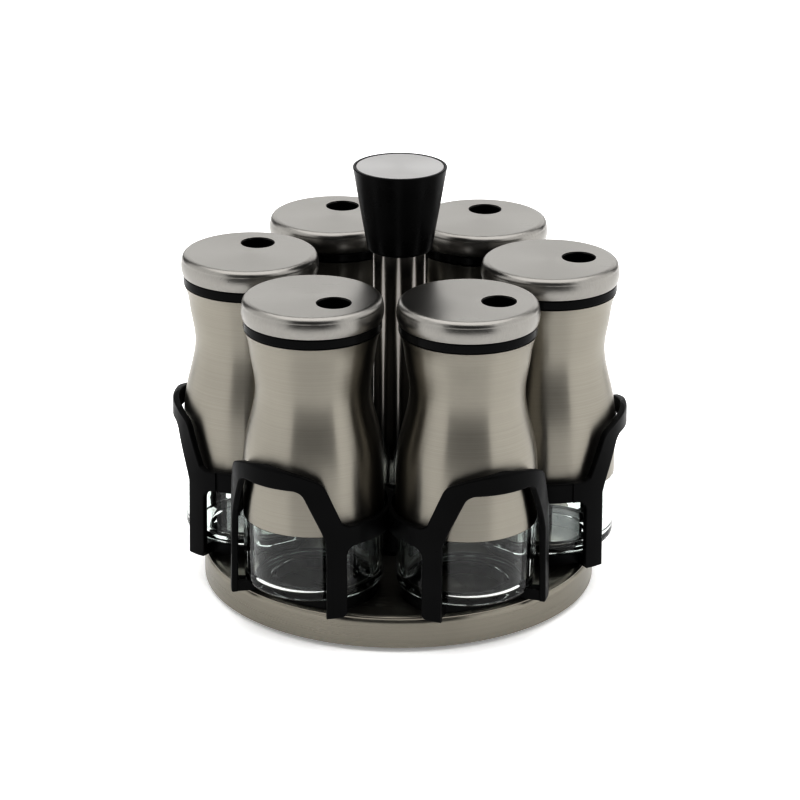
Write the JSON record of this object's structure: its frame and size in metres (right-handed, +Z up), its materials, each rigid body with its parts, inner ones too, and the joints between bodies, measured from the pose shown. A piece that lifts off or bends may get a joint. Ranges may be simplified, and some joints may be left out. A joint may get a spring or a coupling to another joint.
{
  "type": "spice carousel",
  "caption": "Turning spice rack: waisted steel and glass jars with dial lids stand in black moulded cradles round a tube with a knob, on a steel base with a ball race.",
  "frame": {"origin": "on the table, on the axis of spin", "axes": "+Z up along the axis of spin; -Y is the front, midway between two jars"},
  "size_m": [0.1816, 0.166, 0.1712],
  "materials": {
    "brushed_steel": "circumferential brushing",
    "lid_steel": "fine brushing",
    "polished_steel": "polished",
    "satin_disc": "satin",
    "cradle_plastic": "satin black moulding",
    "knob_plastic": "satin black",
    "cap_plastic": "gloss black",
    "black_plastic": "matte black",
    "jar_glass": "clear, faintly green",
    "seal_rubber": "soft matte",
    "foot_rubber": "matte",
    "race_steel": "zinc plated",
    "ball_steel": "ground",
    "fastener_steel": "zinc plated",
    "insert_brass": "turned"
  },
  "bodies": {
    "stand": {"foot_plate": "black_plastic", "rubber_feet": "foot_rubber", "lower_race": "race_steel", "race_rivets": "fastener_steel"},
    "ball_cage": {"ball_ring": "black_plastic", "bearing_balls": "ball_steel"},
    "turntable": {"base_pan": "brushed_steel", "base_core": "black_plastic", "upper_race": "race_steel", "race_screws": "fastener_steel", "cradle_screws": "fastener_steel", "cradle_1": "cradle_plastic", "cradle_2": "cradle_plastic", "cradle_3": "cradle_plastic", "cradle_4": "cradle_plastic", "cradle_5": "cradle_plastic", "cradle_6": "cradle_plastic", "rack_hub": "cradle_plastic", "centre_tube": "polished_steel", "tie_rod": "fastener_steel", "rod_nut": "fastener_steel", "knob_insert": "insert_brass", "knob": "knob_plastic", "knob_disc": "satin_disc"},
    "jar_1": {"glass_jar_1": "jar_glass", "steel_sleeve_1": "brushed_steel"},
    "cap_1": {"sifter_cap_1": "cap_plastic", "cap_gasket_1": "seal_rubber"},
    "dial_1": {"steel_lid_1": "lid_steel", "dial_insert_1": "cap_plastic"},
    "jar_2": {"glass_jar_2": "jar_glass", "steel_sleeve_2": "brushed_steel"},
    "cap_2": {"sifter_cap_2": "cap_plastic", "cap_gasket_2": "seal_rubber"},
    "dial_2": {"steel_lid_2": "lid_steel", "dial_insert_2": "cap_plastic"},
    "jar_3": {"glass_jar_3": "jar_glass", "steel_sleeve_3": "brushed_steel"},
    "cap_3": {"sifter_cap_3": "cap_plastic", "cap_gasket_3": "seal_rubber"},
    "dial_3": {"steel_lid_3": "lid_steel", "dial_insert_3": "cap_plastic"},
    "jar_4": {"glass_jar_4": "jar_glass", "steel_sleeve_4": "brushed_steel"},
    "cap_4": {"sifter_cap_4": "cap_plastic", "cap_gasket_4": "seal_rubber"},
    "dial_4": {"steel_lid_4": "lid_steel", "dial_insert_4": "cap_plastic"},
    "jar_5": {"glass_jar_5": "jar_glass", "steel_sleeve_5": "brushed_steel"},
    "cap_5": {"sifter_cap_5": "cap_plastic", "cap_gasket_5": "seal_rubber"},
    "dial_5": {"steel_lid_5": "lid_steel", "dial_insert_5": "cap_plastic"},
    "jar_6": {"glass_jar_6": "jar_glass", "steel_sleeve_6": "brushed_steel"},
    "cap_6": {"sifter_cap_6": "cap_plastic", "cap_gasket_6": "seal_rubber"},
    "dial_6": {"steel_lid_6": "lid_steel", "dial_insert_6": "cap_plastic"}
  },
  "joints": [
    {"name": "turntable_spin", "type": "hinge", "parent": "stand", "child": "turntable", "pos_m": [0, 0, 0.0072], "axis": [0, 0, 1], "continuous": true},
    {"name": "ball_cage_spin", "type": "hinge", "parent": "stand", "child": "ball_cage", "pos_m": [0, 0, 0.0072], "axis": [0, 0, 1], "continuous": true},
    {"name": "jar_1_lift", "type": "slide", "parent": "turntable", "child": "jar_1", "axis": [0, 0, 1], "range_m": [0, 0.07]},
    {"name": "cap_1_off", "type": "slide", "parent": "jar_1", "child": "cap_1", "axis": [0, 0, 1], "range_m": [0, 0.014]},
    {"name": "dial_1_turn", "type": "hinge", "parent": "cap_1", "child": "dial_1", "pos_m": [-0.02955, -0.05118, 0.13], "axis": [0, 0, 1], "continuous": true},
    {"name": "jar_2_lift", "type": "slide", "parent": "turntable", "child": "jar_2", "axis": [0, 0, 1], "range_m": [0, 0.07]},
    {"name": "cap_2_off", "type": "slide", "parent": "jar_2", "child": "cap_2", "axis": [0, 0, 1], "range_m": [0, 0.014]},
    {"name": "dial_2_turn", "type": "hinge", "parent": "cap_2", "child": "dial_2", "pos_m": [0.02955, -0.05118, 0.13], "axis": [0, 0, 1], "continuous": true},
    {"name": "jar_3_lift", "type": "slide", "parent": "turntable", "child": "jar_3", "axis": [0, 0, 1], "range_m": [0, 0.07]},
    {"name": "cap_3_off", "type": "slide", "parent": "jar_3", "child": "cap_3", "axis": [0, 0, 1], "range_m": [0, 0.014]},
    {"name": "dial_3_turn", "type": "hinge", "parent": "cap_3", "child": "dial_3", "pos_m": [0.0591, 0, 0.13], "axis": [0, 0, 1], "continuous": true},
    {"name": "jar_4_lift", "type": "slide", "parent": "turntable", "child": "jar_4", "axis": [0, 0, 1], "range_m": [0, 0.07]},
    {"name": "cap_4_off", "type": "slide", "parent": "jar_4", "child": "cap_4", "axis": [0, 0, 1], "range_m": [0, 0.014]},
    {"name": "dial_4_turn", "type": "hinge", "parent": "cap_4", "child": "dial_4", "pos_m": [0.02955, 0.05118, 0.13], "axis": [0, 0, 1], "continuous": true},
    {"name": "jar_5_lift", "type": "slide", "parent": "turntable", "child": "jar_5", "axis": [0, 0, 1], "range_m": [0, 0.07]},
    {"name": "cap_5_off", "type": "slide", "parent": "jar_5", "child": "cap_5", "axis": [0, 0, 1], "range_m": [0, 0.014]},
    {"name": "dial_5_turn", "type": "hinge", "parent": "cap_5", "child": "dial_5", "pos_m": [-0.02955, 0.05118, 0.13], "axis": [0, 0, 1], "continuous": true},
    {"name": "jar_6_lift", "type": "slide", "parent": "turntable", "child": "jar_6", "axis": [0, 0, 1], "range_m": [0, 0.07]},
    {"name": "cap_6_off", "type": "slide", "parent": "jar_6", "child": "cap_6", "axis": [0, 0, 1], "range_m": [0, 0.014]},
    {"name": "dial_6_turn", "type": "hinge", "parent": "cap_6", "child": "dial_6", "pos_m": [-0.0591, 0, 0.13], "axis": [0, 0, 1], "continuous": true}
  ],
  "couplings": [
    {"joint": "ball_cage_spin", "follows": "turntable_spin", "ratio": 0.5}
  ]
}
